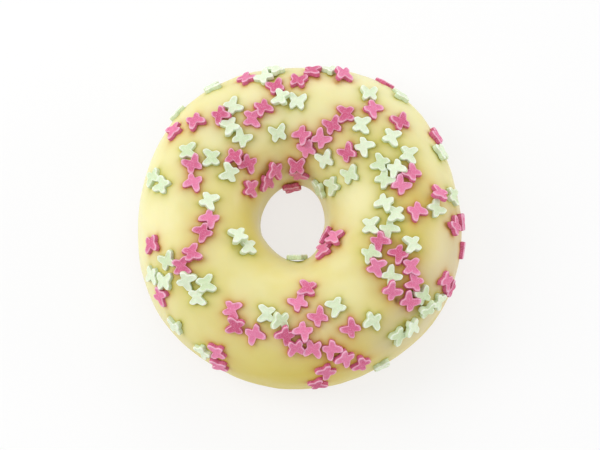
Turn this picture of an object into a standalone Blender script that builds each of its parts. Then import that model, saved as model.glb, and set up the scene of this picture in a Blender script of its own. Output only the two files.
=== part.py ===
"""A ring doughnut, dipped in pale yellow icing and strewn with pressed sugar butterflies.

Metres, +Z up. The doughnut lies on z = 0 with the middle of its outline over the origin.
"""

import math
import random

import bmesh
import bpy
from mathutils import Matrix, Vector

# The ring, measured over the icing
OUTER_RADIUS = 0.0470
HOLE_RADIUS = 0.0107
CROWN_HEIGHT = 0.0310
WAIST_HEIGHT = 0.0135
BASE_DEPTH = 0.0144  # how far below the waist the section would reach if its base weren't flat
SQUARENESS = 0.90  # 1 makes the section an ellipse, and less makes it squarer
RING_MIDDLE = (-0.0007, 0.0010)  # butterflies stand out further on the other side

# Each wave is how many crests go round the ring, its size, and where one crest is, in degrees
OUTER_WAVES = ((2, 0.0003, 82), (4, 0.0005, 48), (5, 0.0004, -15))
HOLE_WAVES = ((1, 0.0020, 158), (2, 0.0014, 90), (4, 0.0003, 0))
CROWN_WAVES = ((2, 0.0005, 20), (3, 0.0003, 75))

# The icing
ICING_THICKNESS = 0.0015
GAP = 0.0004  # between the icing and the dough under it
COVER = ICING_THICKNESS + GAP
SECTION_RADIUS = 0.0170
LIP_LENGTH = 0.0016  # how far from its edge the icing reaches its full thickness
BEAD = 0.35  # how much thicker the icing gathers just above its edge
BEAD_DISTANCE = 0.0030
BEAD_LENGTH = 0.0022
OUTER_DIP = 26  # how far below the waist the icing ends outside, in degrees of the section
INNER_DIP = 20  # and in the hole
OUTER_DIP_WAVES = ((3, 3.0, 40), (5, 2.2, 10), (8, 1.6, 25))
INNER_DIP_WAVES = ((2, 3.0, 60), (5, 2.0, 30))

# The butterflies, pressed from a flat sheet. One side's corners: degrees from the nose, and how far
# out. The nose, the notch between the fore wing and the hind wing, and the tail are the near ones.
WING_CORNERS = (
    (0, 0.00130),
    (35, 0.00345),
    (60, 0.00305),
    (95, 0.00180),
    (120, 0.00250),
    (150, 0.00290),
    (180, 0.00125),
)
SUGAR_THICKNESS = 0.0018
SINK = 0.0008  # how deep a butterfly's lowest corner sits in the icing
SPACING = 0.0038  # how far a butterfly falls from the others, if its handful has room
TRIES = 40
LEAN_REACH = 0.0052  # a butterfly nearer than this to an earlier one leans on it
LEAN_EASE = 0.0013  # and when nearer by this, it leans its most
MOST_LEAN = 24
LOOSE_TILT = 8  # the most that one tilts by chance
SEED = 217

# Handfuls of butterflies: degrees round the ring, degrees up the section (0 is the outer waist,
# 90 the crown, 180 the hole), how many pink, how many mint, and how far they spread
HANDFULS = (
    (353, 21, 3, 0, 0.005),
    (355, 62, 1, 1, 0.005),
    (350, 92, 0, 4, 0.006),
    (8, 44, 1, 1, 0.005),
    (13, 90, 2, 1, 0.005),
    (24, 20, 1, 1, 0.006),
    (26, 82, 0, 3, 0.004),
    (27, 130, 0, 2, 0.005),
    (36, 68, 1, 1, 0.004),
    (48, 87, 0, 2, 0.004),
    (52, 27, 1, 1, 0.007),
    (56, 105, 3, 0, 0.006),
    (58, 73, 1, 1, 0.004),
    (62, 145, 0, 2, 0.006),
    (74, 44, 1, 1, 0.003),
    (82, 125, 3, 0, 0.004),
    (91, 51, 2, 0, 0.005),
    (91, 159, 2, 0, 0.003),
    (101, 188, 1, 0, 0.001),
    (95, 104, 0, 2, 0.006),
    (95, 77, 1, 1, 0.004),
    (106, 35, 1, 2, 0.007),
    (115, 81, 2, 0, 0.004),
    (119, 148, 2, 0, 0.004),
    (128, 85, 1, 3, 0.006),
    (136, 38, 2, 2, 0.010),
    (141, 137, 2, 0, 0.006),
    (147, 100, 1, 2, 0.005),
    (153, 68, 1, 1, 0.005),
    (173, 44, 0, 2, 0.006),
    (176, 98, 2, 1, 0.006),
    (195, 96, 1, 0, 0.001),
    (198, 52, 1, 1, 0.005),
    (207, 37, 1, 2, 0.005),
    (208, 72, 2, 0, 0.004),
    (219, 66, 0, 3, 0.004),
    (224, 120, 0, 2, 0.007),
    (228, 20, 0, 2, 0.007),
    (242, 20, 2, 0, 0.004),
    (243, 70, 3, 0, 0.006),
    (256, 81, 0, 2, 0.003),
    (267, 163, 0, 1, 0.001),
    (268, 67, 3, 0, 0.003),
    (276, 24, 2, 0, 0.005),
    (282, 50, 3, 0, 0.005),
    (278, 92, 3, 1, 0.007),
    (295, 12, 1, 1, 0.005),
    (297, 68, 1, 1, 0.004),
    (311, 32, 0, 2, 0.004),
    (314, 137, 3, 0, 0.006),
    (315, 77, 1, 1, 0.004),
    (324, 38, 1, 3, 0.006),
    (329, 69, 2, 0, 0.004),
    (332, 20, 2, 0, 0.004),
    (332, 88, 3, 2, 0.006),
)

# Facets
STEPS_AROUND = 40
BARE_ROWS = 3  # on the dough, from its flat base up to the icing
COVERED_ROWS = 7  # on the dough under the icing and on the icing's back, so that they nest
ICING_ROWS = 10
LIP_TURNS = (1.3, 4.5)  # degrees from the icing's edge to its first two rows


def waves(around, terms):
    """The sum of the waves at one place round the ring."""
    return sum(size * math.cos(crests * (around - math.radians(at))) for crests, size, at in terms)


def powered(share, power):
    """A power of a number that may be below zero. Under 1, it squares a circle a little."""
    return math.copysign(abs(share) ** power, share)


def section_sizes(around):
    """The bare dough's section: its middle's distance from the axis, its half width and its rise."""
    outer = OUTER_RADIUS + waves(around, OUTER_WAVES)
    hole = HOLE_RADIUS + waves(around, HOLE_WAVES)
    rise = CROWN_HEIGHT + waves(around, CROWN_WAVES) - WAIST_HEIGHT - COVER
    return (outer + hole) / 2, (outer - hole) / 2 - COVER, rise


def ring_point(around, turn, lift=0.0):
    """The point over the dough at these two angles: turn is 0 at the outer waist and pi at the hole."""
    middle, half_width, rise = section_sizes(around)
    half_height = rise if math.sin(turn) > 0 else BASE_DEPTH
    reach = middle + (half_width + lift) * powered(math.cos(turn), SQUARENESS)
    height = WAIST_HEIGHT + (half_height + lift) * powered(math.sin(turn), SQUARENESS)
    return Vector((reach * math.cos(around), reach * math.sin(around), max(height, 0.0)))


def icing_edges(around):
    """The turns at which the icing ends, outside and in the hole."""
    outside = -math.radians(OUTER_DIP + waves(around, OUTER_DIP_WAVES))
    inside = math.pi + math.radians(INNER_DIP + waves(around, INNER_DIP_WAVES))
    return outside, inside


def icing_lift(around, turn):
    """How far over the dough the icing's face is: a round lip, then a bead, then an even coat."""
    outside, inside = icing_edges(around)
    distance = max(min(turn - outside, inside - turn), 0.0) * SECTION_RADIUS
    lip = math.sqrt(1 - (1 - min(distance / LIP_LENGTH, 1)) ** 2)
    bead = 1 + BEAD * math.exp(-(((distance - BEAD_DISTANCE) / BEAD_LENGTH) ** 2))
    return GAP + ICING_THICKNESS * lip * bead


def icing_point(around, turn):
    return ring_point(around, turn, icing_lift(around, turn))


def depth(point):
    """How far a point is under the icing's face, along the line to the middle of the section."""
    around = math.atan2(point.y, point.x)
    middle, half_width, rise = section_sizes(around)
    half_height = rise if point.z > WAIST_HEIGHT else BASE_DEPTH
    across = powered((point.xy.length - middle) / (half_width + COVER), 1 / SQUARENESS)
    up = powered((point.z - WAIST_HEIGHT) / (half_height + COVER), 1 / SQUARENESS)
    turn = math.atan2(up, across)
    if turn < -math.pi / 2:
        turn += math.tau
    centre = Vector((middle * math.cos(around), middle * math.sin(around), WAIST_HEIGHT))
    return (icing_point(around, turn) - centre).length - (point - centre).length


def evenly(start, end, steps):
    return [start + (end - start) * step / steps for step in range(steps + 1)]


def material(name, colour, roughness):
    made = bpy.data.materials.new(name)
    made.use_nodes = True
    shader = made.node_tree.nodes["Principled BSDF"]
    shader.inputs["Base Color"].default_value = (*colour, 1)
    shader.inputs["Roughness"].default_value = roughness
    shader.inputs["Metallic"].default_value = 0
    return made


def add_object(name, mesh, finish, collection):
    mesh.materials.append(finish)
    made = bpy.data.objects.new(name, mesh)
    collection.objects.link(made)
    return made


def ring_mesh(name, section):
    """A closed ring from a function that gives the points of its section at each place round it.

    Its faces are split the same way on every ring, so that rings with the same rows never cross.
    """
    shape = bmesh.new()
    rings = []
    for step in range(STEPS_AROUND):
        rings.append([shape.verts.new(point) for point in section(math.tau * step / STEPS_AROUND)])
    for here, there in zip(rings, rings[1:] + rings[:1]):
        for row in range(len(here)):
            shape.faces.new((here[row - 1], there[row - 1], there[row], here[row]))
    bmesh.ops.triangulate(shape, faces=shape.faces, quad_method="FIXED")
    bmesh.ops.recalc_face_normals(shape, faces=shape.faces)
    mesh = bpy.data.meshes.new(name)
    shape.to_mesh(mesh)
    shape.free()
    mesh.shade_smooth()
    return mesh


def dough_section(around):
    """From the flat base's outer edge, up round the crown and down the hole to its inner edge."""
    outside, inside = icing_edges(around)
    base_turn = math.asin((WAIST_HEIGHT / BASE_DEPTH) ** (1 / SQUARENESS))
    turns = evenly(-base_turn, outside, BARE_ROWS)[:-1]
    turns += evenly(outside, inside, COVERED_ROWS)
    turns += evenly(inside, math.pi + base_turn, BARE_ROWS)[1:]
    return [ring_point(around, turn) for turn in turns]


def icing_section(around):
    """Along the icing's back from its outer edge to the hole, then over its face to where it began."""
    outside, inside = icing_edges(around)
    first, second = (math.radians(turn) for turn in LIP_TURNS)
    back = evenly(outside, inside, COVERED_ROWS)
    face = [inside - first]
    face += evenly(inside - second, outside + second, ICING_ROWS)
    face += [outside + first]
    points = [ring_point(around, turn, GAP) for turn in back]
    return points + [icing_point(around, turn) for turn in face]


def butterfly_outline():
    """The corners of a butterfly seen from above, its nose along +X. Its two sides are alike."""
    one_side = [(math.radians(heading), length) for heading, length in WING_CORNERS]
    corners = one_side + [(-heading, length) for heading, length in one_side[-2:0:-1]]
    return [Vector((math.cos(heading), math.sin(heading))) * length for heading, length in corners]


def butterfly_mesh(place):
    """A flat plate with the butterfly's outline, set down by a matrix."""
    shape = bmesh.new()
    corners = [shape.verts.new((*corner, 0)) for corner in butterfly_outline()]
    base = shape.faces.new(corners)
    top = bmesh.ops.extrude_face_region(shape, geom=[base])["geom"]
    raised = [part for part in top if isinstance(part, bmesh.types.BMVert)]
    bmesh.ops.translate(shape, verts=raised, vec=(0, 0, SUGAR_THICKNESS))
    bmesh.ops.recalc_face_normals(shape, faces=shape.faces)
    bmesh.ops.transform(shape, matrix=place, verts=shape.verts)
    mesh = bpy.data.meshes.new("butterfly")
    shape.to_mesh(mesh)
    shape.free()
    return mesh


def surface_axes(around, turn):
    """Unit vectors along the ring, down the section and straight out of the icing."""
    step = 0.01
    along = icing_point(around + step, turn) - icing_point(around - step, turn)
    over = icing_point(around, turn + step) - icing_point(around, turn - step)
    along.normalize()
    outward = along.cross(over).normalized()
    return along, outward.cross(along), outward


def settled(spot, spin, tilt, tilt_heading, earlier):
    """Where a butterfly comes to rest: flat on the icing, or leaning on the nearest earlier one."""
    around, turn = spot
    along, over, outward = surface_axes(around, turn)
    centre = icing_point(around, turn)
    nearest = min(earlier, key=lambda other: (other - centre).length, default=None)
    lean, lean_axis = 0.0, along
    if nearest is not None and (nearest - centre).length < LEAN_REACH:
        toward = nearest - centre
        toward -= outward * toward.dot(outward)
        lean_axis = toward.cross(outward).normalized()
        lean = math.radians(MOST_LEAN) * min((LEAN_REACH - toward.length) / LEAN_EASE, 1)
    flat = Matrix((along, over, outward)).transposed()
    tilt_axis = along * math.cos(tilt_heading) + over * math.sin(tilt_heading)
    turned = Matrix.Rotation(lean, 3, lean_axis) @ Matrix.Rotation(tilt, 3, tilt_axis)
    turned = turned @ flat @ Matrix.Rotation(spin, 3, "Z")
    underside = [Vector((0, 0, 0))] + [corner.to_3d() for corner in butterfly_outline()]
    deepest = max(depth(centre + turned @ corner) for corner in underside)
    return Matrix.Translation(centre + outward * (deepest - SINK)) @ turned.to_4x4()


def roomiest_spot(draw, around, turn, spread, earlier):
    """Of some spots drawn within a handful's spread, the first with room enough, or else the roomiest."""
    most_room, best = 0.0, (around, turn)
    reach = icing_point(around, turn).xy.length
    for _ in range(TRIES):
        heading = draw.uniform(0, math.tau)
        distance = spread * math.sqrt(draw.random())
        along, up = distance * math.cos(heading) / reach, distance * math.sin(heading) / SECTION_RADIUS
        spot = around + along, turn + up
        room = min(((other - icing_point(*spot)).length for other in earlier), default=math.inf)
        if room > most_room:
            most_room, best = room, spot
        if most_room > SPACING:
            break
    return best


def strew():
    """The place and the colour of every butterfly, handful by handful."""
    placed, centres = [], []
    for number, (around_deg, turn_deg, pinks, mints, spread) in enumerate(HANDFULS):
        draw = random.Random(SEED + number)
        colours = ["pink"] * pinks + ["mint"] * mints
        draw.shuffle(colours)
        for colour in colours:
            spot = roomiest_spot(draw, math.radians(around_deg), math.radians(turn_deg), spread, centres)
            spin, tilt_heading = draw.uniform(0, math.tau), draw.uniform(0, math.tau)
            tilt = math.radians(LOOSE_TILT) * draw.random()
            placed.append((settled(spot, spin, tilt, tilt_heading, centres), colour))
            centres.append(icing_point(*spot))
    return placed


def outer_skin(mesh):
    """Keeps a joined solid's outer skin, and drops the tiny pockets sealed between its pieces."""
    shape = bmesh.new()
    shape.from_mesh(mesh)
    unseen = set(shape.faces)
    skins = []
    while unseen:
        front = [unseen.pop()]
        skin = list(front)
        while front:
            beside = {face for edge in front.pop().edges for face in edge.link_faces} & unseen
            unseen -= beside
            front += beside
            skin += beside
        skins.append(skin)
    skins.sort(key=len)
    for pocket in skins[:-1]:
        corners = {corner for face in pocket for corner in face.verts}
        bmesh.ops.delete(shape, geom=list(corners), context="VERTS")
    shape.to_mesh(mesh)
    shape.free()


def put_in_order(mesh):
    """Numbers a mesh's corners and faces by where they are. A union gives them in a chance order."""
    points = [tuple(corner.co) for corner in mesh.vertices]
    order = sorted(range(len(points)), key=points.__getitem__)
    number = {old: new for new, old in enumerate(order)}
    faces = []
    for face in mesh.polygons:
        corners = [number[old] for old in face.vertices]
        start = corners.index(min(corners))
        faces.append((corners[start:] + corners[:start], face.material_index, face.use_smooth))
    corners, slots, smooth = zip(*sorted(faces))
    mesh.clear_geometry()
    mesh.from_pydata([points[old] for old in order], [], corners)
    mesh.polygons.foreach_set("material_index", slots)
    mesh.polygons.foreach_set("use_smooth", smooth)


def fuse(body, pieces):
    """Joins a collection's objects to the body in one union, and clears them away."""
    union = body.modifiers.new("fused", "BOOLEAN")
    union.operation = "UNION"
    union.operand_type = "COLLECTION"
    union.collection = pieces
    union.solver = "EXACT"
    union.material_mode = "TRANSFER"
    bpy.context.view_layer.update()
    graph = bpy.context.evaluated_depsgraph_get()
    joined = bpy.data.meshes.new_from_object(body.evaluated_get(graph))
    body.modifiers.remove(union)
    outer_skin(joined)
    put_in_order(joined)
    body.data = joined
    for piece in list(pieces.objects):
        bpy.data.objects.remove(piece)
    bpy.data.collections.remove(pieces)


def make_doughnut():
    scene = bpy.context.scene.collection
    crust = material("fried dough", (0.60, 0.30, 0.10), 0.6)
    glaze = material("pale yellow icing", (0.86, 0.74, 0.26), 0.35)
    sugar = {
        "pink": material("pink sugar", (0.75, 0.22, 0.38), 0.8),
        "mint": material("mint sugar", (0.72, 0.84, 0.64), 0.8),
    }
    dough = add_object("dough", ring_mesh("dough", dough_section), crust, scene)
    icing = add_object("icing", ring_mesh("icing", icing_section), glaze, scene)
    butterflies = bpy.data.collections.new("butterflies")
    scene.children.link(butterflies)
    for place, colour in strew():
        add_object("butterfly", butterfly_mesh(place), sugar[colour], butterflies)
    fuse(icing, butterflies)
    for node in (dough, icing):
        node.data.transform(Matrix.Translation((*RING_MIDDLE, 0)))


for leftover in list(bpy.data.objects):
    bpy.data.objects.remove(leftover)
make_doughnut()
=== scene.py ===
"""A ring doughnut, dipped in pale yellow icing and strewn with pressed sugar butterflies.

Metres, +Z up. Everything on the doughnut is made round the middle of its ring, and then set
down where the ring lies.
"""

import math
import random

import bpy
import numpy as np
from mathutils import Matrix, Vector, noise


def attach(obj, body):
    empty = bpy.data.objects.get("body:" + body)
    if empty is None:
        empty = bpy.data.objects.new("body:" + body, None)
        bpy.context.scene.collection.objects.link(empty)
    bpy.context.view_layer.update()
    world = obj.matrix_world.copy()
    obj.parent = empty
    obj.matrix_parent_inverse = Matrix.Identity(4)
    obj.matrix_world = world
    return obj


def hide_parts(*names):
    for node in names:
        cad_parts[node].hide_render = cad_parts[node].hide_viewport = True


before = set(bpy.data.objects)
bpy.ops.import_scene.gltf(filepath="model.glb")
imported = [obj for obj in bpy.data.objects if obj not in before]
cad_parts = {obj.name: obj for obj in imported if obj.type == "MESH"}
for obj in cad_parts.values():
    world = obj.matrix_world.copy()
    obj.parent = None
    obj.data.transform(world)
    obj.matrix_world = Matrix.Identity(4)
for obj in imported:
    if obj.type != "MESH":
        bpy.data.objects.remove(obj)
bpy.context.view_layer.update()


# The fried ring. It is raised dough that puffed up in hot oil, so its section is round and a
# little square, with a flat where it lies. It fried golden brown on the side that lay in the oil,
# and it is paler round the waist, which floated at the oil's surface.

RING_MIDDLE = (-0.0007, 0.0010, 0.0)  # butterflies stand out further on the other side

# The ring, measured over the icing
OUTER_RADIUS = 0.0470
HOLE_RADIUS = 0.0107
CROWN_HEIGHT = 0.0310
WAIST_HEIGHT = 0.0135
BASE_DEPTH = 0.0144  # how far below the waist the section would reach if its base weren't flat
SQUARENESS = 0.90  # 1 makes the section an ellipse, and less makes it squarer

# Each wave is how many crests go round the ring, its size, and where one crest is, in degrees
OUTER_WAVES = ((2, 0.0003, 82), (4, 0.0005, 48), (5, 0.0004, -15))
HOLE_WAVES = ((1, 0.0020, 158), (2, 0.0014, 90), (4, 0.0003, 0))
CROWN_WAVES = ((2, 0.0005, 20), (3, 0.0003, 75))

ICING_THICKNESS = 0.0015
GAP = 0.0004  # between the icing and the dough under it
COVER = ICING_THICKNESS + GAP
SECTION_RADIUS = 0.0170
OUTER_DIP = 26  # how far below the waist the icing ends outside, in degrees of the section
INNER_DIP = 20  # and in the hole
OUTER_DIP_WAVES = ((3, 3.0, 40), (5, 2.2, 10), (8, 1.6, 25))
INNER_DIP_WAVES = ((2, 3.0, 60), (5, 2.0, 30))

CRUST_STEPS = 480
BARE_ROWS = 40
COVERED_ROWS = 40
BASE_ROWS = 28

# Each kind of wrinkle: its size, its depth and its seed
WRINKLES = ((0.0055, 0.00022, 3), (0.0018, 0.00010, 9), (0.0007, 0.00004, 14))
WRINKLE_EASE = 0.0015  # how far below the icing they get their full depth
BASE_LUMP_SIZE = 0.004
BASE_LUMP_HEIGHT = 0.0005
BASE_LUMP_SEED = 5
BASE_EDGE_BELOW = 0.014  # the base browns as if its edges were this far below the icing
BASE_MIDDLE_BELOW = 0.018  # and its middle this far


def waves(around, terms):
    return sum(size * np.cos(crests * (around - math.radians(at))) for crests, size, at in terms)


def powered(share, power):
    return np.copysign(np.abs(share) ** power, share)


def section_sizes(around):
    """The bare ring's section: its middle's distance from the axis, its half width and its rise."""
    outer = OUTER_RADIUS + waves(around, OUTER_WAVES)
    hole = HOLE_RADIUS + waves(around, HOLE_WAVES)
    rise = CROWN_HEIGHT + waves(around, CROWN_WAVES) - WAIST_HEIGHT - COVER
    return (outer + hole) / 2, (outer - hole) / 2 - COVER, rise


def ring_point(around, turn, lift=0.0):
    """Points over the dough: turn is 0 at the outer waist, a quarter at the crown, a half in the hole."""
    middle, half_width, rise = section_sizes(around)
    half_height = np.where(np.sin(turn) > 0, rise, BASE_DEPTH)
    reach = middle + (half_width + lift) * powered(np.cos(turn), SQUARENESS)
    height = WAIST_HEIGHT + (half_height + lift) * powered(np.sin(turn), SQUARENESS)
    return np.stack((reach * np.cos(around), reach * np.sin(around), np.maximum(height, 0.0)), axis=-1)


def icing_edges(around):
    """The turns at which the icing ends, outside and in the hole."""
    outside = -np.radians(OUTER_DIP + waves(around, OUTER_DIP_WAVES))
    inside = math.pi + np.radians(INNER_DIP + waves(around, INNER_DIP_WAVES))
    return outside, inside


def places_round(steps):
    return np.linspace(0, math.tau, steps, endpoint=False)[:, None]


def rows_between(start, end, rows):
    """Evenly spaced turns from one edge towards another, which may both change round the ring."""
    return start + (end - start) * np.arange(rows) / rows


def unevenness(points, size, seed):
    """A smooth random height from -1 to 1 at each point, with lumps of about that size."""
    flat = points.reshape(-1, 3) / size + seed
    heights = [noise.noise(Vector(point)) for point in flat]
    return np.array(heights).reshape(points.shape[:-1])


def ring_mesh(name, points):
    """A closed skin over a grid of points that runs round the ring and round its section."""
    steps, rows = points.shape[:2]
    corner = np.arange(steps * rows).reshape(steps, rows)
    beside = np.roll(corner, -1, axis=0)
    faces = np.stack((corner, beside, np.roll(beside, -1, axis=1), np.roll(corner, -1, axis=1)), axis=-1)
    mesh = bpy.data.meshes.new(name)
    mesh.from_pydata(points.reshape(-1, 3), [], faces.reshape(-1, 4).tolist())
    mesh.shade_smooth()
    return mesh


def mark(mesh, name, values):
    """Stores one number at each corner point of a mesh, for its finish to read."""
    numbers = np.ravel(values).astype(np.float32)
    mesh.attributes.new(name, "FLOAT", "POINT").data.foreach_set("value", numbers)


def set_down(name, mesh, finish, slot, *nodes):
    """Puts a piece where the ring lies, in place of the plain solid if it has one of its own."""
    piece = bpy.data.objects.new(name, mesh)
    bpy.context.scene.collection.objects.link(piece)
    mesh.materials.append(finish.material)
    piece.location = RING_MIDDLE
    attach(piece, "root")
    if nodes:
        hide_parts(*nodes)
    return piece


class Socket:
    """A node's output. Arithmetic on it adds Math nodes."""

    def __init__(self, finish, output):
        self.finish = finish
        self.output = output

    def maths(self, operation, first, second):
        return self.finish.add("ShaderNodeMath", {"operation": operation}, {0: first, 1: second})

    def __add__(self, other):
        return self.maths("ADD", self, other)

    def __sub__(self, other):
        return self.maths("SUBTRACT", self, other)

    def __rsub__(self, other):
        return self.maths("SUBTRACT", other, self)

    def __mul__(self, other):
        return self.maths("MULTIPLY", self, other)

    __radd__ = __add__
    __rmul__ = __mul__


class Finish:
    """A material whose nodes are added one by one, each after those that it reads."""

    def __init__(self, name):
        self.material = bpy.data.materials.new(name)
        self.material.use_nodes = True
        self.nodes = self.material.node_tree.nodes
        self.links = self.material.node_tree.links
        self.shader = self.nodes["Principled BSDF"]

    def add(self, kind, settings, sockets, output=0):
        """One node of any kind: its settings first, then the values or links of its sockets."""
        node = self.nodes.new(kind)
        for name, value in settings.items():
            setattr(node, name, value)
        self.join(node, sockets)
        return Socket(self, node.outputs[output])

    def join(self, node, sockets):
        for name, value in sockets.items():
            if isinstance(value, Socket):
                self.links.new(value.output, node.inputs[name])
            else:
                node.inputs[name].default_value = value

    def marked(self, name):
        return self.add("ShaderNodeAttribute", {"attribute_name": name}, {}, "Fac")

    def mottle(self, size, detail=2.0):
        """Soft noise from about 0.3 to 0.7, with patches of about that size in metres."""
        place = self.add("ShaderNodeTexCoord", {}, {}, "Object")
        sockets = {"Vector": place, "Scale": 1 / size, "Detail": detail}
        return self.add("ShaderNodeTexNoise", {}, sockets, "Fac")

    def clamped(self, value, low, high):
        """Where a value is from low to high, made into 0 to 1 with soft ends."""
        sockets = {"Value": value, "From Min": low, "From Max": high}
        return self.add("ShaderNodeMapRange", {"interpolation_type": "SMOOTHSTEP"}, sockets)

    def blend(self, share, colour, other):
        """One colour where the share is 0 and another where it is 1."""
        sockets = {}
        for name, value in ((0, share), (6, colour), (7, other)):
            sockets[name] = value if isinstance(value, (Socket, float)) else (*value, 1)
        return self.add("ShaderNodeMix", {"data_type": "RGBA"}, sockets, 2)

    def relief(self, height, depth):
        """A bump whose height of 1 is so many metres deep."""
        bump = self.add("ShaderNodeBump", {}, {"Height": height, "Distance": depth})
        self.join(self.shader, {"Normal": bump})


around = places_round(CRUST_STEPS)
outside, inside = icing_edges(around)
base_turn = math.asin((WAIST_HEIGHT / BASE_DEPTH) ** (1 / SQUARENESS))
bare_outside = rows_between(-base_turn, outside, BARE_ROWS)
covered = rows_between(outside, inside, COVERED_ROWS)
bare_inside = rows_between(inside, math.pi + base_turn, BARE_ROWS)
turn = np.concatenate((bare_outside, covered, bare_inside), axis=1)
smooth = ring_point(around, turn)
below_icing = np.maximum(np.maximum(outside - turn, turn - inside), 0.0) * SECTION_RADIUS
wrinkled = sum(depth * unevenness(smooth, size, seed) for size, depth, seed in WRINKLES)
wall = ring_point(around, turn, wrinkled * np.minimum(below_icing / WRINKLE_EASE, 1))
first, last = ring_point(around, -base_turn), ring_point(around, math.pi + base_turn)
across = (np.arange(BASE_ROWS) / BASE_ROWS)[None, :, None]
base = last + (first - last) * across
lying = np.sin(math.pi * across[..., 0])
base[..., 2] += np.maximum(unevenness(base, BASE_LUMP_SIZE, BASE_LUMP_SEED) * BASE_LUMP_HEIGHT * lying, 0)
crust_mesh = ring_mesh("crust", np.concatenate((wall, base), axis=1))
below_base = BASE_EDGE_BELOW + (BASE_MIDDLE_BELOW - BASE_EDGE_BELOW) * lying
below_base = np.broadcast_to(below_base, base.shape[:2])
mark(crust_mesh, "below_icing_mm", np.concatenate((below_icing, below_base), axis=1) * 1000)

crust_finish = Finish("fried crust")
below = crust_finish.marked("below_icing_mm") + (crust_finish.mottle(0.007, 3.0) - 0.5) * 5.0
blotches = crust_finish.clamped(crust_finish.mottle(0.0028, 4.0), 0.38, 0.66)
pores = crust_finish.mottle(0.0006, 3.0)
past_belt = crust_finish.clamped(below, 1.0, 4.5)
browned = crust_finish.clamped(below, 8.0, 18.0) * 0.55
dark_pores = crust_finish.clamped(pores, 0.60, 0.75)
golden = crust_finish.blend(blotches, (0.54, 0.270, 0.080), (0.43, 0.190, 0.050))
golden = crust_finish.blend(browned, golden, (0.34, 0.140, 0.036))
crust_colour = crust_finish.blend(past_belt, (0.80, 0.57, 0.26), golden)
crust_colour = crust_finish.blend(dark_pores, crust_colour, (0.33, 0.13, 0.035))
crust_finish.join(crust_finish.shader, {
    "Base Color": crust_colour,
    "Roughness": 0.50 + 0.25 * pores,
    "Subsurface Weight": 0.08,
    "Subsurface Radius": (0.002, 0.001, 0.0005),
    "Subsurface Scale": 1.0,
})
crust_finish.relief(pores + 0.8 * blotches, 0.00025)
set_down("crust", crust_mesh, crust_finish, "dough", "dough")


# The icing. It is warm fondant that the ring was dipped in, top down, and it set with a soft sheen.
# It is painted a darker, richer yellow where shade falls, and paler where light falls. It ends below
# the waist in a rounded lip, with a bead where it ran together. One side is thin over the dough, and
# two bubbles broke to pinholes there, with painted shade in them.

LIP_LENGTH = 0.0016  # how far from its edge the icing reaches its full thickness
LIP_TURN = LIP_LENGTH / SECTION_RADIUS
BEAD = 0.35  # how much thicker the icing gathers just above its edge
BEAD_DISTANCE = 0.0030
BEAD_LENGTH = 0.0022
ICING_STEPS = 560
LIP_ROWS = 9
FACE_ROWS = 148
BACK_ROWS = 6

# Each kind of lump: its size, its height and its seed
LUMPS = ((0.0100, 0.00030, 21), (0.0040, 0.00008, 27))
LUMP_EASE = 0.004  # how far from the icing's edge they get their full height

# Each pinhole: degrees round the ring, degrees up the section, its radius and its depth
PINHOLES = ((316, 61, 0.0008, 0.0008), (318, 55, 0.0006, 0.0005))

# Each patch: the same two angles, how far it reaches along each, in degrees, and its strength
THIN_PATCHES = ((322, 32, 34, 44, 1.0), (4, 18, 30, 36, 0.5))
# Patches of painted shade, where the icing is drawn a darker, richer yellow
PAINTED_SHADE_PATCHES = (
    (278, 12, 62, 46, 1.0),
    (302, -6, 48, 26, 0.7),
    (330, 62, 22, 22, 0.7),
    (2, 76, 24, 22, 0.5),
    (195, 135, 60, 35, 0.5),
)
# Patches of painted light, where the icing is drawn paler
PAINTED_LIGHT_PATCHES = (
    (202, 20, 50, 32, 0.9),
    (118, 92, 45, 26, 1.1),
    (60, 48, 50, 26, 0.7),
    (38, 132, 36, 26, 0.7),
    (272, 80, 24, 22, 0.9),
)


def icing_lift(around, turn):
    """How far over the dough the icing's face is: a round lip, then a bead, then an even coat."""
    outside, inside = icing_edges(around)
    distance = np.maximum(np.minimum(turn - outside, inside - turn), 0.0) * SECTION_RADIUS
    lip = np.sqrt(1 - (1 - np.minimum(distance / LIP_LENGTH, 1)) ** 2)
    bead = 1 + BEAD * np.exp(-(((distance - BEAD_DISTANCE) / BEAD_LENGTH) ** 2))
    return GAP + ICING_THICKNESS * lip * bead


def icing_point(around, turn):
    return ring_point(around, turn, icing_lift(around, turn))


def patches(around, turn, spots):
    """Soft oval patches, each given by its middle's two angles, its half sizes and its strength."""
    total = 0.0
    for around_deg, turn_deg, half_around, half_turn, strength in spots:
        across = ((np.degrees(around) - around_deg + 180) % 360 - 180) / half_around
        up = (np.degrees(turn) - turn_deg) / half_turn
        total = total + strength * np.exp(-(across**2) - up**2)
    return total


around = places_round(ICING_STEPS)
outside, inside = icing_edges(around)
lip = LIP_TURN * (1 - np.cos(np.linspace(0, math.pi / 2, LIP_ROWS, endpoint=False)))
face_end = inside - LIP_TURN
face = rows_between(outside + LIP_TURN, face_end, FACE_ROWS)
turn = np.concatenate((outside + lip, face, face_end, inside - lip[::-1]), axis=1)
icing_face = icing_point(around, turn)
edge_distance = np.minimum(turn - outside, inside - turn) * SECTION_RADIUS
lumps = sum(depth * unevenness(icing_face, size, seed) for size, depth, seed in LUMPS)
lumps = lumps * np.clip(edge_distance / LUMP_EASE, 0, 1)
# Where painted shade darkens the pinholes
pinhole_shade = np.zeros(turn.shape)
for around_deg, turn_deg, radius, depth in PINHOLES:
    mouth = icing_point(math.radians(around_deg), math.radians(turn_deg))
    hollow = np.exp(-((np.linalg.norm(icing_face - mouth, axis=-1) / radius) ** 2))
    lumps = lumps - depth * hollow
    pinhole_shade = np.maximum(pinhole_shade, hollow)
icing_face = ring_point(around, turn, icing_lift(around, turn) + lumps)
back = rows_between(inside, outside, BACK_ROWS + 1)[:, 1:]
icing_back = ring_point(around, back, GAP)
icing_mesh = ring_mesh("icing_coat", np.concatenate((icing_face, icing_back), axis=1))
unseen = np.zeros(back.shape)
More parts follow.
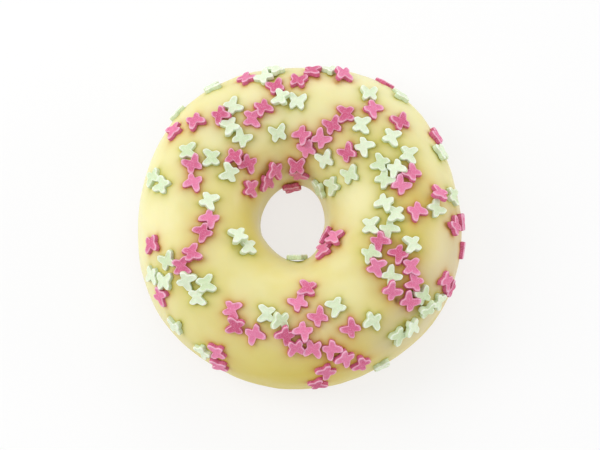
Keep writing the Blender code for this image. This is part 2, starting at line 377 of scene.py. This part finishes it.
for name, values in (
    ("thin", patches(around, turn, THIN_PATCHES)),
    ("painted_shade", patches(around, turn, PAINTED_SHADE_PATCHES)),
    ("painted_light", patches(around, turn, PAINTED_LIGHT_PATCHES)),
    ("pinhole_shade", pinhole_shade),
):
    mark(icing_mesh, name, np.concatenate((values, unseen), axis=1))

icing_finish = Finish("set icing")
clouds = icing_finish.clamped(icing_finish.mottle(0.012), 0.35, 0.65)
thinness = icing_finish.marked("thin") + (icing_finish.mottle(0.009) - 0.5) * 0.5
coat_colour = icing_finish.blend(clouds, (0.765, 0.690, 0.270), (0.800, 0.740, 0.360))
for share, colour in (
    # Painted light: paler where light falls
    (icing_finish.marked("painted_light"), (0.860, 0.835, 0.500)),
    # Painted shade: a darker, richer yellow where shade falls
    (icing_finish.marked("painted_shade"), (0.690, 0.560, 0.095)),
    (icing_finish.clamped(thinness, 0.10, 1.05), (0.640, 0.555, 0.330)),
    # Colour bled out of the butterflies, with painted shade round them, darker and tinted with their
    # colour
    (icing_finish.marked("mint_bleed_and_shade"), (0.470, 0.430, 0.030)),
    (icing_finish.marked("pink_bleed_and_shade"), (0.570, 0.280, 0.025)),
    # Painted shade in the pinholes
    (icing_finish.marked("pinhole_shade"), (0.300, 0.170, 0.030)),
):
    coat_colour = icing_finish.blend(share, coat_colour, colour)
ripples = icing_finish.mottle(0.0016)
icing_finish.join(icing_finish.shader, {
    "Base Color": coat_colour,
    "Roughness": 0.30 + 0.16 * ripples,
    "Subsurface Weight": 0.25,
    "Subsurface Radius": (0.0030, 0.0022, 0.0008),
    "Subsurface Scale": 1.0,
})
icing_finish.relief(ripples, 0.00006)
set_down("icing_coat", icing_mesh, icing_finish, "icing", "icing")


# The butterflies. They are starch and sugar, pressed flat in a mould, pink or mint green, and they
# were strewn by hand on the wet icing. Each lies flat on it, or leans on one that fell before it.
# The icing's fat draws a little of their colour out round them, and painted shade, tinted with their
# colour, darkens the icing close round them.

PRESSED_THICKNESS = 0.00150
SUNK = 0.00035  # how deep a butterfly's lowest point sits in the icing
SPACING = 0.0038  # how far a butterfly falls from the others, if its handful has room
TRIES = 40
LEAN_REACH = 0.0052  # a butterfly nearer than this to an earlier one leans on it
LEAN_EASE = 0.0013  # and when nearer by this, it leans its most
MOST_LEAN = 24
LOOSE_TILT = 8  # the most that one tilts by chance
SEED = 217

# Each handful: degrees round the ring, degrees up the section from the outer waist, how many pink,
# how many mint, and how far they spread
HANDFULS = (
    (353, 21, 3, 0, 0.005),
    (355, 62, 1, 1, 0.005),
    (350, 92, 0, 4, 0.006),
    (8, 44, 1, 1, 0.005),
    (13, 90, 2, 1, 0.005),
    (24, 20, 1, 1, 0.006),
    (26, 82, 0, 3, 0.004),
    (27, 130, 0, 2, 0.005),
    (36, 68, 1, 1, 0.004),
    (48, 87, 0, 2, 0.004),
    (52, 27, 1, 1, 0.007),
    (56, 105, 3, 0, 0.006),
    (58, 73, 1, 1, 0.004),
    (62, 145, 0, 2, 0.006),
    (74, 44, 1, 1, 0.003),
    (82, 125, 3, 0, 0.004),
    (91, 51, 2, 0, 0.005),
    (91, 159, 2, 0, 0.003),
    (101, 188, 1, 0, 0.001),
    (95, 104, 0, 2, 0.006),
    (95, 77, 1, 1, 0.004),
    (106, 35, 1, 2, 0.007),
    (115, 81, 2, 0, 0.004),
    (119, 148, 2, 0, 0.004),
    (128, 85, 1, 3, 0.006),
    (136, 38, 2, 2, 0.010),
    (141, 137, 2, 0, 0.006),
    (147, 100, 1, 2, 0.005),
    (153, 68, 1, 1, 0.005),
    (173, 44, 0, 2, 0.006),
    (176, 98, 2, 1, 0.006),
    (195, 96, 1, 0, 0.001),
    (198, 52, 1, 1, 0.005),
    (207, 37, 1, 2, 0.005),
    (208, 72, 2, 0, 0.004),
    (219, 66, 0, 3, 0.004),
    (224, 120, 0, 2, 0.007),
    (228, 20, 0, 2, 0.007),
    (242, 20, 2, 0, 0.004),
    (243, 70, 3, 0, 0.006),
    (256, 81, 0, 2, 0.003),
    (267, 163, 0, 1, 0.001),
    (268, 67, 3, 0, 0.003),
    (276, 24, 2, 0, 0.005),
    (282, 50, 3, 0, 0.005),
    (278, 92, 3, 1, 0.007),
    (295, 12, 1, 1, 0.005),
    (297, 68, 1, 1, 0.004),
    (311, 32, 0, 2, 0.004),
    (314, 137, 3, 0, 0.006),
    (315, 77, 1, 1, 0.004),
    (324, 38, 1, 3, 0.006),
    (329, 69, 2, 0, 0.004),
    (332, 20, 2, 0, 0.004),
    (332, 88, 3, 2, 0.006),
)

# One side of a butterfly: degrees from the head, and how far out each corner is
WING_CORNERS = (
    (0, 0.00125),
    (35, 0.00360),
    (60, 0.00315),
    (95, 0.00175),
    (120, 0.00260),
    (150, 0.00300),
    (180, 0.00120),
)
CORNER_ROUNDING = (-7, -3.5, 0, 3.5, 7)  # the outline is a mean over headings so many degrees off
OUTLINE_STEPS = 72
RIM_SAMPLES = 24
SIZE_SPREAD = 0.05
TOP_ZONE = 0.0002  # how far below the top the pale powder and painted highlight can reach
SIDE_ZONE = 0.0003  # and how far below it the side, painted in shade, begins
POWDER_AND_HIGHLIGHT_START = 0.72  # how far out the powder and painted highlight begin, as a share of the way to the outline
POWDER_AND_HIGHLIGHT_RISE = 4
BLEEDS_AND_SHADES = ((0.65, 0.0007), (0.24, 0.0022))  # how strong, and over what length each fades
BLEED_AND_SHADE_REACH = 0.012  # further out than this, there is no bleed and no painted shade
BLEED_AND_SHADE_DOWN = 0.3  # what depth under a butterfly counts, beside distance from its outline


def straight_edges(heading):
    """How far out the straight edges between the wings' corners are. Both sides are alike."""
    corner, length = np.transpose(WING_CORNERS)
    corner = np.radians(corner)
    from_head = np.abs((heading + math.pi) % math.tau - math.pi)
    edge = np.clip(np.searchsorted(corner, from_head, side="right") - 1, 0, len(corner) - 2)
    past, left = from_head - corner[edge], corner[edge + 1] - from_head
    return np.sin(past + left) / (np.sin(left) / length[edge] + np.sin(past) / length[edge + 1])


def wing_reach(heading):
    """How far the outline is from the body's middle: those edges, with their corners rounded."""
    nearby = [straight_edges(heading + math.radians(off)) for off in CORNER_ROUNDING]
    return sum(nearby) / len(nearby)


def under_icing(points):
    """How deep points are under the icing's face, along the line to the middle of the section."""
    around = np.arctan2(points[..., 1], points[..., 0])
    middle, half_width, rise = section_sizes(around)
    half_height = np.where(points[..., 2] > WAIST_HEIGHT, rise, BASE_DEPTH)
    reach = np.hypot(points[..., 0], points[..., 1])
    across = powered((reach - middle) / (half_width + COVER), 1 / SQUARENESS)
    up = powered((points[..., 2] - WAIST_HEIGHT) / (half_height + COVER), 1 / SQUARENESS)
    turn = np.arctan2(up, across)
    turn = np.where(turn < -math.pi / 2, turn + math.tau, turn)
    height = np.full_like(middle, WAIST_HEIGHT)
    centre = np.stack((middle * np.cos(around), middle * np.sin(around), height), axis=-1)
    face = icing_point(around, turn)
    return np.linalg.norm(face - centre, axis=-1) - np.linalg.norm(points - centre, axis=-1)


def surface_axes(around, turn):
    """Unit vectors along the ring, over the section and straight out of the icing."""
    step = 0.01
    along = icing_point(around + step, turn) - icing_point(around - step, turn)
    over = icing_point(around, turn + step) - icing_point(around, turn - step)
    along = along / np.linalg.norm(along)
    outward = np.cross(along, over)
    outward = outward / np.linalg.norm(outward)
    return along, np.cross(outward, along), outward


def rotation(angle, axis):
    return np.array(Matrix.Rotation(angle, 3, Vector(axis)))


def settled(spot, spin, tilt, tilt_heading, earlier):
    """Where a butterfly comes to rest: flat on the icing, or leaning on the nearest earlier one."""
    along, over, outward = surface_axes(*spot)
    centre = icing_point(*spot)
    lean = np.eye(3)
    gaps = [np.linalg.norm(other - centre) for other in earlier]
    if gaps and min(gaps) < LEAN_REACH:
        toward = earlier[int(np.argmin(gaps))] - centre
        toward = toward - outward * toward.dot(outward)
        share = min((LEAN_REACH - np.linalg.norm(toward)) / LEAN_EASE, 1)
        lean = rotation(math.radians(MOST_LEAN) * share, np.cross(toward, outward))
    flat = np.stack((along, over, outward), axis=1)
    tilted = rotation(tilt, along * math.cos(tilt_heading) + over * math.sin(tilt_heading))
    turned = lean @ tilted @ flat @ rotation(spin, (0, 0, 1))
    heading = np.linspace(0, math.tau, RIM_SAMPLES, endpoint=False)
    rim = np.stack((np.cos(heading), np.sin(heading), 0 * heading), axis=1) * wing_reach(heading)[:, None]
    underside = centre + np.vstack((rim, np.zeros(3))) @ turned.T
    deepest = under_icing(underside).max()
    return turned, centre + outward * (deepest - SUNK)


def roomiest_spot(draw, around, turn, spread, earlier):
    """Of some spots drawn within a handful's spread, the first with room enough, or else the roomiest."""
    most_room, best = 0.0, (around, turn)
    reach = np.hypot(*icing_point(around, turn)[:2])
    for _ in range(TRIES):
        heading = draw.uniform(0, math.tau)
        distance = spread * math.sqrt(draw.random())
        along, up = distance * math.cos(heading) / reach, distance * math.sin(heading) / SECTION_RADIUS
        spot = around + along, turn + up
        centre = icing_point(*spot)
        room = min((np.linalg.norm(other - centre) for other in earlier), default=math.inf)
        if room > most_room:
            most_room, best = room, spot
        if most_room > SPACING:
            break
    return best


def strew():
    """Each butterfly's turning, place and colour, handful by handful."""
    placed, centres = [], []
    for number, (around_deg, turn_deg, pinks, mints, spread) in enumerate(HANDFULS):
        draw = random.Random(SEED + number)
        colours = ["pink"] * pinks + ["mint"] * mints
        draw.shuffle(colours)
        for colour in colours:
            spot = roomiest_spot(draw, math.radians(around_deg), math.radians(turn_deg), spread, centres)
            spin, tilt_heading = draw.uniform(0, math.tau), draw.uniform(0, math.tau)
            tilt = math.radians(LOOSE_TILT) * draw.random()
            placed.append((*settled(spot, spin, tilt, tilt_heading, centres), colour))
            centres.append(icing_point(*spot))
    return placed


def pressed_butterfly():
    """Rows of points from the middle of the underside over the rounded rim to the top's middle.

    The wings are dished and the body stands up between them.
    """
    heading = np.linspace(0, math.tau, OUTLINE_STEPS, endpoint=False)
    reach = wing_reach(heading)
    winged = (reach / reach.max()) ** 2
    top = PRESSED_THICKNESS
    rows = []
    for inset, share, height, dish in (
        (0.00000, 0.45, 0.0, 0.0),
        (0.00014, 1.00, 0.0, 0.0),
        (0.00003, 1.00, 0.00012, 0.0),
        (0.00000, 1.00, 0.00040, 0.0),
        (0.00004, 1.00, top - 0.00036, 0.0),
        (0.00010, 1.00, top - 0.00015, 0.0),
        (0.00020, 1.00, top - 0.00004, 0.0),
        (0.00034, 1.00, top, 0.0),
        (0.00046, 1.00, top, 0.00002),
        (0.00056, 0.92, top, 0.00008),
        (0.00056, 0.74, top, 0.00017),
        (0.00056, 0.52, top, 0.00018),
        (0.00056, 0.26, top, 0.00008),
    ):
        radius = (reach - inset) * share
        x, y = radius * np.cos(heading), radius * np.sin(heading)
        rows.append(np.stack((x, y, height - dish * winged), axis=1))
    return np.stack(rows)


def butterfly_faces(rows, steps):
    """Quads between the rows, and a fan to the middle point at each end."""
    corner = np.arange(rows * steps).reshape(rows, steps)
    beside = np.roll(corner, -1, axis=1)
    faces = np.stack((corner[:-1], beside[:-1], beside[1:], corner[1:]), axis=-1).reshape(-1, 4).tolist()
    bottom, top = rows * steps, rows * steps + 1
    faces += [[bottom, b, a] for a, b in zip(corner[0].tolist(), beside[0].tolist())]
    faces += [[top, a, b] for a, b in zip(corner[-1].tolist(), beside[-1].tolist())]
    return faces


def butterflies_mesh(name, places):
    """All the butterflies of one colour in one mesh."""
    rows = pressed_butterfly()
    middles = np.array([(0, 0, 0), (0, 0, PRESSED_THICKNESS)])
    one = np.concatenate((rows.reshape(-1, 3), middles))
    outward = np.hypot(one[:, 0], one[:, 1]) / wing_reach(np.arctan2(one[:, 1], one[:, 0]))
    on_top = one[:, 2] > PRESSED_THICKNESS - TOP_ZONE
    # Pale powder and a painted highlight on the rim of the top
    powder_and_highlight = np.clip((outward - POWDER_AND_HIGHLIGHT_START) * POWDER_AND_HIGHLIGHT_RISE, 0, 1) * on_top
    # The side, which is painted in shade
    side = (one[:, 2] < PRESSED_THICKNESS - SIDE_ZONE).astype(float)
    faces = butterfly_faces(*rows.shape[:2])
    points, all_faces, shades = [], [], []
    draw = random.Random(len(places))
    for number, (turned, centre) in enumerate(places):
        size = 1 + SIZE_SPREAD * (draw.random() - 0.5)
        points.append(centre + (one * size) @ turned.T)
        all_faces += [[corner + number * len(one) for corner in face] for face in faces]
        shades.append(np.full(len(one), draw.random()))
    mesh = bpy.data.meshes.new(name)
    mesh.from_pydata(np.concatenate(points), [], all_faces)
    mesh.shade_smooth()
    mark(mesh, "powder_and_highlight", np.tile(powder_and_highlight, len(places)))
    mark(mesh, "side", np.tile(side, len(places)))
    mark(mesh, "shade", np.concatenate(shades))
    return mesh


def bleed_and_shade(points, places):
    """How much colour has come out of the butterflies at each point, with painted shade round them: most
    at their outlines.
    """
    clean = np.ones(len(points))
    for turned, centre in places:
        near = np.flatnonzero(np.linalg.norm(points - centre, axis=1) < BLEED_AND_SHADE_REACH)
        local = (points[near] - centre) @ turned
        gap = np.hypot(local[:, 0], local[:, 1]) - wing_reach(np.arctan2(local[:, 1], local[:, 0]))
        away = np.maximum(gap, 0) + BLEED_AND_SHADE_DOWN * np.maximum(-local[:, 2], 0)
        clean[near] *= 1 - sum(strength * np.exp(-away / length) for strength, length in BLEEDS_AND_SHADES)
    return 1 - clean


def sugar_finish(name, deep, plain, light):
    """Pressed sugar: matt and fine grained, with its colour worn to a pale powder at the rims, where a
    highlight is also painted, and with painted shade on its sides.
    """
    finish = Finish(name)
    grain = finish.mottle(0.00025, 3.0)
    stain = finish.mottle(0.0016, 2.0)
    body = finish.blend(finish.clamped(finish.marked("shade") + 0.5 * stain, 0.3, 1.2), plain, deep)
    # Painted shade on the sides, in the deep colour
    body = finish.blend(finish.marked("side") * 0.8, body, deep)
    # Pale powder and a painted highlight at the rims, and pale grain all over
    worn_and_highlight = finish.marked("powder_and_highlight") * 0.75 + finish.clamped(grain, 0.48, 0.70) * 0.36
    finish.join(finish.shader, {
        "Base Color": finish.blend(worn_and_highlight, body, light),
        "Roughness": 0.62 + 0.25 * grain,
        "Subsurface Weight": 0.15,
        "Subsurface Radius": (0.0012, 0.0008, 0.0008),
        "Subsurface Scale": 1.0,
    })
    finish.relief(grain, 0.00010)
    return finish


placed = strew()
icing_points = np.concatenate((icing_face, icing_back), axis=1).reshape(-1, 3)
for colour, deep, plain, light in (
    ("pink", (0.60, 0.090, 0.205), (0.78, 0.210, 0.380), (0.90, 0.56, 0.71)),
    ("mint", (0.61, 0.73, 0.45), (0.75, 0.84, 0.62), (0.90, 0.95, 0.85)),
):
    places = [(turned, centre) for turned, centre, which in placed if which == colour]
    mark(icing_mesh, colour + "_bleed_and_shade", bleed_and_shade(icing_points, places))
    mesh = butterflies_mesh(colour + "_butterflies", places)
    finish = sugar_finish("pressed " + colour + " sugar", deep, plain, light)
    set_down(colour + "_butterflies", mesh, finish, colour + "_sugar")


# The floor: a plain white sheet, larger than any view of the doughnut.

FLOOR_HALF = 4.0
FLOOR_DROP = 0.0002
FLOOR_GLOW = 0.70

floor_mesh = bpy.data.meshes.new("floor")
corners = [(x * FLOOR_HALF, y * FLOOR_HALF, -FLOOR_DROP) for x, y in ((-1, -1), (1, -1), (1, 1), (-1, 1))]
floor_mesh.from_pydata(corners, [], [(0, 1, 2, 3)])
floor = bpy.data.objects.new("floor", floor_mesh)
bpy.context.scene.collection.objects.link(floor)
paper = Finish("white paper")
paper.join(paper.shader, {
    "Base Color": (0.25, 0.25, 0.25, 1),
    "Roughness": 0.9,
    "Emission Color": (1, 1, 1, 1),
    "Emission Strength": FLOOR_GLOW,
})
floor_mesh.materials.append(paper.material)


# The light: soft panels, the strongest high at the left, with others at the right, behind and above,
# and an even white surround.

# Each panel: its name, its place, the length of its sides and its power
PANELS = (
    ("left", (-0.85, 0.10, 0.20), 0.45, 1.0),
    ("left_high", (-0.60, 0.10, 0.65), 0.50, 2.6),
    ("right", (0.85, 0.05, 0.25), 0.50, 2.3),
    ("behind", (0.00, 0.80, 0.35), 0.60, 2.0),
    ("above", (0.00, -0.35, 0.80), 0.50, 0.7),
)
PANELS_AIM = (0, 0, 0.015)
SURROUND = 0.61

for name, place, size, power in PANELS:
    light = bpy.data.lights.new(name, "AREA")
    light.size = size
    light.energy = power
    panel = bpy.data.objects.new(name, light)
    panel.location = place
    panel.rotation_euler = (Vector(PANELS_AIM) - Vector(place)).to_track_quat("-Z", "Y").to_euler()
    panel.visible_camera = False
    bpy.context.scene.collection.objects.link(panel)
world = bpy.data.worlds.new("surround")
world.use_nodes = True
background = world.node_tree.nodes["Background"]
background.inputs["Color"].default_value = (1, 1, 1, 1)
background.inputs["Strength"].default_value = SURROUND
bpy.context.scene.world = world
bpy.context.scene.view_settings.view_transform = "Standard"


# The camera looks steeply down from the front, as the photograph's did.

ELEVATION = 74
DISTANCE = 0.60
PIXELS_PER_METRE = 3484  # in the picture, where the camera aims
IMAGE_WIDTH = 600
SENSOR_WIDTH = 36.0
AIM_FROM_RING = (0.00023, -0.00018, WAIST_HEIGHT)

aim = Vector(RING_MIDDLE) + Vector(AIM_FROM_RING)
rise = math.radians(ELEVATION)
camera_data = bpy.data.cameras.new("camera")
camera_data.sensor_width = SENSOR_WIDTH
camera_data.lens = PIXELS_PER_METRE * DISTANCE * SENSOR_WIDTH / IMAGE_WIDTH
camera = bpy.data.objects.new("camera", camera_data)
camera.location = aim + DISTANCE * Vector((0, -math.cos(rise), math.sin(rise)))
camera.rotation_euler = (math.radians(90 - ELEVATION), 0, 0)
bpy.context.scene.collection.objects.link(camera)
bpy.context.scene.camera = camera
